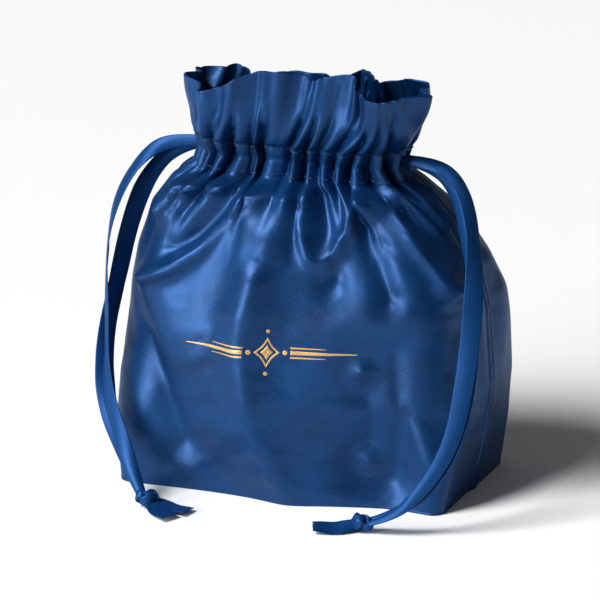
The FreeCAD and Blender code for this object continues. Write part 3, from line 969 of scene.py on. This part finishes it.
for name, node_name, span, side in (
    ("front_channel_lining", "front_facing", (2 * strip, half_round - 2 * strip), -1),
    ("back_channel_lining", "back_facing", (half_round + 2 * strip, around - 2 * strip), 1),
):
    lining = cut_piece(
        name, satin, (body_top + 1, channel_end_row - 1), span,
        outside=-facing_depth, inside=-facing_depth - layer_thickness)
    follow_neck(lining)
    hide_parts(node_name)


def frill_piece(name, node_name, column_span):
    """The outer layer, over the folded edge and down the inside, as one closed layer."""
    across = np.arange(column_span[0], column_span[1] + 1)
    down = np.arange(channel_end_row, frill_top + 1)
    pick = np.ix_(down, across % around)
    taper = ease(np.arange(len(down)) / 6.0, 0, 1)[:, None, None]
    thick = frill_thickness * (0.7 + 0.3 * taper)
    outer = cloth[pick]
    inner = outer - outward[pick] * thick
    upward = unit(np.gradient(outer, axis=0))[-1]
    middle = (outer[-1] + inner[-1]) / 2
    half = (outer[-1] - inner[-1]) / 2
    roll = []
    for angle in np.linspace(0, math.pi, 9)[1:-1]:
        swell = 1 + (frill_roll - 1) * math.sin(angle)
        rise = upward * frill_thickness / 2 * math.sin(angle)
        roll.append(middle + (half * math.cos(angle) + rise) * swell)
    skin = np.concatenate([outer, roll, inner[::-1]])
    core = outward[pick] * 0.25
    under = np.concatenate([outer - core, [middle] * len(roll), (inner + core)[::-1]])
    heights = np.concatenate([
        thread_heights[down], np.full(len(roll), thread_heights[-1] + 1),
        thread_heights[down][::-1] + 0.5,
    ])
    cut = np.stack(np.meshgrid(across * fine_step, heights), -1)
    points, faces, flat = closed_layer(skin, under, cut)
    made = piece(name, points, faces, satin, flat)
    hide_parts(node_name)
    return made


for name, node_name, span, side in (
    ("front_ruffle", "front_frill", (strip, half_round - strip), -1),
    ("back_ruffle", "back_frill", (half_round + strip, around - strip), 1),
):
    ruffle = frill_piece(name, node_name, span)
    follow_neck(ruffle)

for side_name, column in (("left", 0), ("right", half_round)):
    span = (column - strip, column + strip)
    heights = cloth[body_top:channel_end_row, column % around, 2]
    open_rows = (heights > exit_low) & (heights < exit_high - 0.8)
    hole = np.zeros((channel_end_row - body_top, 2 * strip), bool)
    hole[open_rows, 1:-1] = True
    end = cut_piece(
        side_name + "_channel_side", satin, (body_top, channel_end_row), span, hole=hole)
    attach(end, "root")
    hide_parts(side_name + "_channel_end")
    ruffle_end = frill_piece(side_name + "_ruffle_side", side_name + "_frill_end", span)
    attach(ruffle_end, "root")


# ---------------------------------------------------------------------------
# Ribbon inside the channel
# Each ribbon goes once round inside the channel, so two bands lie one behind
# the other at the front and at the back.

run_low = body_top + 2
run_high = channel_end_row - 2
run_depths = {"left": 1.25, "right": 2.1}     # below the channel's outer layer
for side_name, span, side, body in (
    ("front", (2 * strip, half_round - 2 * strip), -1, "front_neck"),
    ("back", (half_round + 2 * strip, around - 2 * strip), 1, "back_neck"),
):
    for ribbon_name, depth in run_depths.items():
        run = cut_piece(
            side_name + "_" + ribbon_name + "_band", ribbon_material,
            (run_low, run_high), span, outside=-depth, inside=-depth - ribbon_thickness)
        follow_neck(run)
        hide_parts(side_name + "_" + ribbon_name + "_ribbon_run")


# ---------------------------------------------------------------------------
# Stitches
# Navy polyester thread. Two rows of lockstitch, 3 mm long every 5 mm, hold the
# channel, and a dense bar of stitches ends each opening, above and below it.

stitch_length = 3.0
stitch_pitch = 5.0
thread_thickness = 0.42
tack_pitch = 0.62
tack_height = 1.2
tack_slant = math.radians(78)
low_stitch_row = body_top + 1
high_stitch_row = channel_end_row - 1


def sewing_thread():
    """Twisted polyester sewing thread of the satin's shade, but duller, with the twist of its
    plies just visible."""
    made, tree = new_material("navy_thread")
    place = add_node(tree, "ShaderNodeTexCoord")
    # Real plies turn every 0.5 mm: drawn every 2 mm so that they show
    twist = add_node(tree, "ShaderNodeTexWave", {
        "Vector": place.outputs["Object"], "Scale": 180.0, "Distortion": 1.5,
    }, bands_direction="DIAGONAL")
    tone = add_node(tree, "ShaderNodeValToRGB", {"Fac": twist.outputs["Fac"]})
    tone.color_ramp.elements[0].color = linear("#04284f")
    tone.color_ramp.elements[1].color = linear("#0a3c70")
    bump = add_node(tree, "ShaderNodeBump", {
        "Height": twist.outputs["Fac"], "Strength": 0.6, "Distance": 0.1 * mm,
    })
    shader = add_node(tree, "ShaderNodeBsdfPrincipled", {
        "Base Color": tone.outputs["Color"], "Roughness": 0.55, "Normal": bump.outputs[0],
        "Sheen Weight": 0.3, "Sheen Roughness": 0.4,
    })
    finish_material(tree, shader)
    return made


thread_material = sewing_thread()


def stitch_tree():
    """Bowed stitches along a line on the cloth, each flat on it and turned by the same angle."""
    tree = bpy.data.node_groups.new("stitches", "GeometryNodeTree")
    for name, kind in (
        ("Line", "NodeSocketGeometry"), ("Pitch", "NodeSocketFloat"), ("Length", "NodeSocketFloat"),
        ("Thickness", "NodeSocketFloat"), ("Turn", "NodeSocketFloat"), ("Thread", "NodeSocketMaterial"),
    ):
        tree.interface.new_socket(name, in_out="INPUT", socket_type=kind)
    tree.interface.new_socket("Stitches", in_out="OUTPUT", socket_type="NodeSocketGeometry")
    given = add_node(tree, "NodeGroupInput")
    half = add_node(tree, "ShaderNodeMath", {0: given.outputs["Length"], 1: 0.5}, operation="MULTIPLY")
    back = add_node(tree, "ShaderNodeMath", {0: half.outputs[0], 1: -1.0}, operation="MULTIPLY")
    sunk = add_node(tree, "ShaderNodeMath", {0: given.outputs["Thickness"], 1: -0.55}, operation="MULTIPLY")
    first = add_node(tree, "ShaderNodeCombineXYZ", {"X": back.outputs[0], "Z": sunk.outputs[0]})
    crown = add_node(tree, "ShaderNodeCombineXYZ", {"Z": given.outputs["Thickness"]})
    last = add_node(tree, "ShaderNodeCombineXYZ", {"X": half.outputs[0], "Z": sunk.outputs[0]})
    bow = add_node(tree, "GeometryNodeCurveQuadraticBezier", {
        "Resolution": 6, "Start": first.outputs[0], "Middle": crown.outputs[0], "End": last.outputs[0],
    })
    radius = add_node(tree, "ShaderNodeMath", {0: given.outputs["Thickness"], 1: 0.5}, operation="MULTIPLY")
    section = add_node(tree, "GeometryNodeCurvePrimitiveCircle", {
        "Resolution": 7, "Radius": radius.outputs[0],
    })
    stitch = add_node(tree, "GeometryNodeCurveToMesh", {
        "Curve": bow.outputs[0], "Profile Curve": section.outputs[0], "Fill Caps": True,
    })
    line = add_node(tree, "GeometryNodeMeshToCurve", {"Mesh": given.outputs["Line"]})
    marks = add_node(tree, "GeometryNodeResampleCurve", {
        "Curve": line.outputs[0], "Length": given.outputs["Pitch"],
    }, mode="LENGTH")
    outward_now = add_node(tree, "GeometryNodeInputNamedAttribute", {
        "Name": "outward",
    }, data_type="FLOAT_VECTOR")
    heading = add_node(tree, "GeometryNodeInputTangent")
    along = add_node(tree, "FunctionNodeAlignRotationToVector", {"Vector": heading.outputs[0]}, axis="X")
    upright = add_node(tree, "FunctionNodeAlignRotationToVector", {
        "Rotation": along.outputs[0], "Vector": outward_now.outputs[0],
    }, axis="Z", pivot_axis="X")
    turn = add_node(tree, "FunctionNodeAxisAngleToRotation", {
        "Axis": (0, 0, 1), "Angle": given.outputs["Turn"],
    })
    turned = add_node(tree, "FunctionNodeRotateRotation", {
        "Rotation": upright.outputs[0], "Rotate By": turn.outputs[0],
    }, rotation_space="LOCAL")
    placed = add_node(tree, "GeometryNodeInstanceOnPoints", {
        "Points": marks.outputs[0], "Instance": stitch.outputs[0], "Rotation": turned.outputs[0],
    })
    real = add_node(tree, "GeometryNodeRealizeInstances", {"Geometry": placed.outputs[0]})
    finished = add_node(tree, "GeometryNodeSetMaterial", {
        "Geometry": real.outputs[0], "Material": given.outputs["Thread"],
    })
    add_node(tree, "NodeGroupOutput", {"Stitches": finished.outputs[0]})
    return tree


stitches = stitch_tree()


def sew(name, lines, pitch, length, turn=0.0):
    """Stitches along one or more lines, each given as points and outward directions."""
    mesh = bpy.data.meshes.new(name)
    points = np.concatenate([line[0] for line in lines]) * mm
    looks = np.concatenate([line[1] for line in lines])
    edges, first = [], 0
    for line in lines:
        edges += [(first + k, first + k + 1) for k in range(len(line[0]) - 1)]
        first += len(line[0])
    mesh.from_pydata(points.tolist(), edges, [])
    attribute = mesh.attributes.new("outward", "FLOAT_VECTOR", "POINT")
    attribute.data.foreach_set("vector", looks.astype(np.float32).ravel())
    made = bpy.data.objects.new(name, mesh)
    bpy.context.scene.collection.objects.link(made)
    modifier = made.modifiers.new("stitches", "NODES")
    modifier.node_group = stitches
    values = {
        "Pitch": pitch * mm, "Length": length * mm, "Thickness": thread_thickness * mm,
        "Turn": turn, "Thread": thread_material,
    }
    for socket in stitches.interface.items_tree:
        if socket.in_out == "INPUT" and socket.name in values:
            modifier[socket.identifier] = values[socket.name]
    sewn = bpy.data.meshes.new_from_object(made.evaluated_get(bpy.context.evaluated_depsgraph_get()))
    made.modifiers.remove(modifier)
    made.data = sewn
    sewn.polygons.foreach_set("use_smooth", np.ones(len(sewn.polygons), bool))
    return made


def thread_line(row, column_span, lift=0.15):
    across = np.arange(column_span[0], column_span[1] + 1) % around
    return cloth[row, across] + outward[row, across] * lift, outward[row, across]


for side_name, span, side in (
    ("front", (strip, half_round - strip), -1), ("back", (half_round + strip, around - strip), 1),
):
    for level, row in (("lower", low_stitch_row), ("upper", high_stitch_row)):
        sewn = sew(
            side_name + "_" + level + "_row", [thread_line(row, span)], stitch_pitch, stitch_length)
        follow_neck(sewn)
        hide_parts(side_name + "_" + level + "_stitching")

for side_name, column in (("left", 0), ("right", half_round)):
    tacks = sew(
        side_name + "_tacks",
        [thread_line(row, (column - strip, column + strip)) for row in (low_stitch_row, high_stitch_row)],
        tack_pitch, tack_height, tack_slant)
    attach(tacks, "root")
    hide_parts(side_name + "_bar_tacks")


# ---------------------------------------------------------------------------
# Printed ornament
# A plain lozenge with a dot above and below it, and to each side a dot, one
# tapering rule and two thin ones. It is screen printed in matt gold on the
# front. The film is too thin to feel and bends with the satin.

print_middle = (144.5, 98.0)        # in the cut, from the left seam and from the base
print_lift = 0.12           # how far the ink's face stands above the satin
print_film = 0.08           # how thick the ink is


def gold_print():
    """Screen-printed gold ink: fine bronze flakes in a binder, so it glitters softly rather than shining.
    It is drawn as a solid film, without the small gaps where the weave shows through."""
    made, tree = new_material("gold_ink")
    uv = add_node(tree, "ShaderNodeUVMap", uv_map="cut")
    # Flakes are 0.02 mm across; drawn 0.6 mm so that they show
    flakes = add_node(tree, "ShaderNodeTexNoise", {
        "Vector": uv.outputs[0], "Scale": 1.7, "Detail": 3.0, "Roughness": 0.6,
    }, noise_dimensions="2D")
    tone = add_node(tree, "ShaderNodeValToRGB", {"Fac": flakes.outputs["Fac"]})
    tone.color_ramp.elements[0].position = 0.3
    tone.color_ramp.elements[0].color = linear("#a9824f")
    tone.color_ramp.elements[1].position = 0.7
    tone.color_ramp.elements[1].color = linear("#dcb981")
    rough = add_node(tree, "ShaderNodeMapRange", {
        "Value": flakes.outputs["Fac"], "To Min": 0.35, "To Max": 0.6,
    })
    bump = add_node(tree, "ShaderNodeBump", {
        "Height": flakes.outputs["Fac"], "Strength": 0.4, "Distance": 0.1 * mm,
    })
    shader = add_node(tree, "ShaderNodeBsdfPrincipled", {
        "Base Color": tone.outputs["Color"], "Roughness": rough.outputs["Result"],
        "Metallic": 0.55, "Normal": bump.outputs[0],
    })
    finish_material(tree, shader)
    return made


def on_cloth(cut, lift):
    """Places on the satin for points of its cut, read between the threads."""
    column = cut[..., 0] / fine_step
    row = np.interp(cut[..., 1], thread_heights, np.arange(len(thread_heights)))
    j, i = np.floor(column).astype(int), np.minimum(np.floor(row).astype(int), len(cloth) - 2)
    s, t = (column - j)[..., None], (row - i)[..., None]
    places = []
    for grid in (cloth, outward):
        low = grid[i, j % around] * (1 - s) + grid[i, (j + 1) % around] * s
        high = grid[i + 1, j % around] * (1 - s) + grid[i + 1, (j + 1) % around] * s
        places.append(low * (1 - t) + high * t)
    return places[0] + unit(places[1]) * lift


def print_patch(grid_cut):
    """A film of ink on the satin, from a grid of points in the cut about the print's middle."""
    grid_cut = np.asarray(grid_cut, float) + print_middle
    upper = on_cloth(grid_cut, print_lift)
    lower = on_cloth(grid_cut, print_lift - print_film)
    return closed_layer(upper, lower, grid_cut)


def rule(start, end, thickness):
    """A rule, thickest at its inner end, that runs out to a point at its outer end."""
    along = np.linspace(0, 1, 60)
    x = start + (end - start) * along
    half = thickness / 2 * (1 - along) ** 0.7 + 0.12
    across = np.linspace(-1, 1, 5) * (1 if end > start else -1)
    grid = np.stack([np.broadcast_to(x[:, None], (60, 5)), half[:, None] * across], -1)
    return grid[:, ::-1]


def ring_of(corners_out, corners_in):
    """A printed line between two closed outlines."""
    outer_line = np.concatenate([corners_out, corners_out[:1]])
    inner_line = np.concatenate([corners_in, corners_in[:1]])
    steps = np.linspace(0, 1, 4)[:, None, None]
    return inner_line * (1 - steps) + outer_line * steps


def lozenge(width, height):
    corners = np.array([(0, -height / 2), (width / 2, 0), (0, height / 2), (-width / 2, 0)])
    share = np.linspace(0, 4, 41)[:-1]
    edge = np.floor(share).astype(int)
    t = (share - edge)[:, None]
    bowed = corners[edge] * (1 - t) + corners[(edge + 1) % 4] * t
    return bowed * (1 - 0.16 * np.sin(math.pi * t))


def dot(x, y, diameter):
    angle = np.linspace(0, 2 * math.pi, 17)[:-1]
    circle = np.stack([np.cos(angle), np.sin(angle)], 1) * diameter / 2
    return ring_of(circle + (x, y), circle * 0.02 + (x, y))


patches = [ring_of(lozenge(15.0, 19.0), lozenge(11.6, 14.7)), ring_of(lozenge(7.6, 9.6), lozenge(0.2, 0.2))]
for side in (1, -1):
    patches += [
        rule(13.5 * side, 52.0 * side, 2.4), rule(13.5 * side, 34.0 * side, 0.9) + (0, 3.0),
        rule(13.5 * side, 34.0 * side, 0.9) - (0, 3.0), dot(10.4 * side, 0, 3.0), dot(0, 13.2 * side, 2.4),
    ]
points, faces, flat = joined([print_patch(patch) for patch in patches])
ornament = piece("gold_ornament", points, faces, gold_print(), flat)
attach(ornament, "root")
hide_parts("printed_ornament")


# ---------------------------------------------------------------------------
# Table and light
# A plain white table in a dim white room. One wide soft light stands high at the
# left and one softbox low at the front left, so the right side falls into shade.

def white_table():
    """Matt white laminate: an even pale ground with a very faint grain."""
    made, tree = new_material("white_laminate")
    place = add_node(tree, "ShaderNodeTexCoord")
    # Fine grain of the laminate, 2 mm across
    grain = add_node(tree, "ShaderNodeTexNoise", {
        "Vector": place.outputs["Object"], "Scale": 500.0, "Detail": 2.0,
    })
    tone = add_node(tree, "ShaderNodeValToRGB", {"Fac": grain.outputs["Fac"]})
    tone.color_ramp.elements[0].color = linear("#f0f0f0")
    tone.color_ramp.elements[1].color = linear("#f7f7f7")
    shader = add_node(tree, "ShaderNodeBsdfPrincipled", {
        "Base Color": tone.outputs["Color"], "Roughness": 0.7, "Specular IOR Level": 0.2,
    })
    finish_material(tree, shader)
    return made


table_half = 6000.0
table_height = -0.2
table_corners = [
    (x * table_half, y * table_half, table_height) for x, y in ((-1, -1), (1, -1), (1, 1), (-1, 1))
]
table = piece("table", table_corners, [(0, 1, 2, 3)], white_table())

world = bpy.data.worlds.new("white_room")
bpy.context.scene.world = world
world.use_nodes = True
world.node_tree.nodes["Background"].inputs["Color"].default_value = (1, 1, 1, 1)
world.node_tree.nodes["Background"].inputs["Strength"].default_value = 0.10

sun = bpy.data.lights.new("high_left_light", "SUN")
sun.energy = 3.9
sun.angle = math.radians(25)
sun_holder = bpy.data.objects.new("high_left_light", sun)
bpy.context.scene.collection.objects.link(sun_holder)
sun_holder.rotation_euler = Vector((0.62, 0.72, -1.05)).to_track_quat("-Z", "Y").to_euler()

softbox = bpy.data.lights.new("front_left_softbox", "AREA")
softbox.shape = "RECTANGLE"
softbox.size = 0.9
softbox.size_y = 0.9
softbox.energy = 40
softbox_holder = bpy.data.objects.new("front_left_softbox", softbox)
bpy.context.scene.collection.objects.link(softbox_holder)
softbox_holder.location = (-1.25, -1.9, 0.45)
softbox_aim = Vector((0, 0, 0.1)) - softbox_holder.location
softbox_holder.rotation_euler = softbox_aim.to_track_quat("-Z", "Y").to_euler()

bpy.context.scene.view_settings.view_transform = "Standard"
